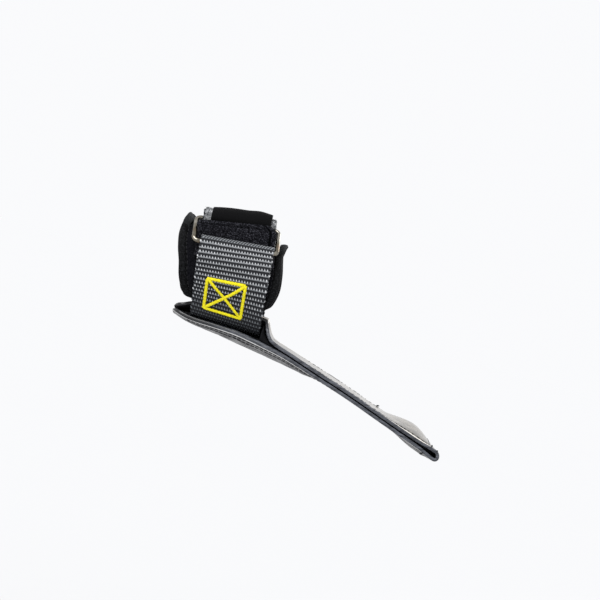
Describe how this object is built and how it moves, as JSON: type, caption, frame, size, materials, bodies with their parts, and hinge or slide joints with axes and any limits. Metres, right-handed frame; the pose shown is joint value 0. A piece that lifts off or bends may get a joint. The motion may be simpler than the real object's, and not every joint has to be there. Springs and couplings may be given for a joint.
{
  "type": "lifting grip",
  "caption": "Weightlifting grip: a padded wrist cuff closed by woven strap through a wire ring, with a folded leather pad along the palm that wraps round a bar.",
  "frame": {"origin": "middle of the wrist opening", "axes": "+X along the wrist towards the fingers, +Z to the back of the hand, -Y to the thumb's side"},
  "size_m": [0.2099, 0.0884, 0.1242],
  "materials": {
    "neoprene": "matt knit-faced neoprene foam",
    "binding": "rolled knit edge binding with a stitch line",
    "webbing": "coarse woven nylon webbing",
    "loop": "brushed loop tape",
    "satin": "woven satin",
    "nickel": "bright nickel plate",
    "leather": "coated leather, glossy grain side, matt black flesh side"
  },
  "bodies": {
    "root": {"front_cushion": "neoprene", "front_binding": "binding", "back_cushion": "neoprene", "back_binding": "binding", "ring_pad": "neoprene", "ring": "nickel", "webbing_strap": "webbing", "loop_tape": "loop", "label": "satin", "palm_pad": "leather"}
  },
  "joints": []
}
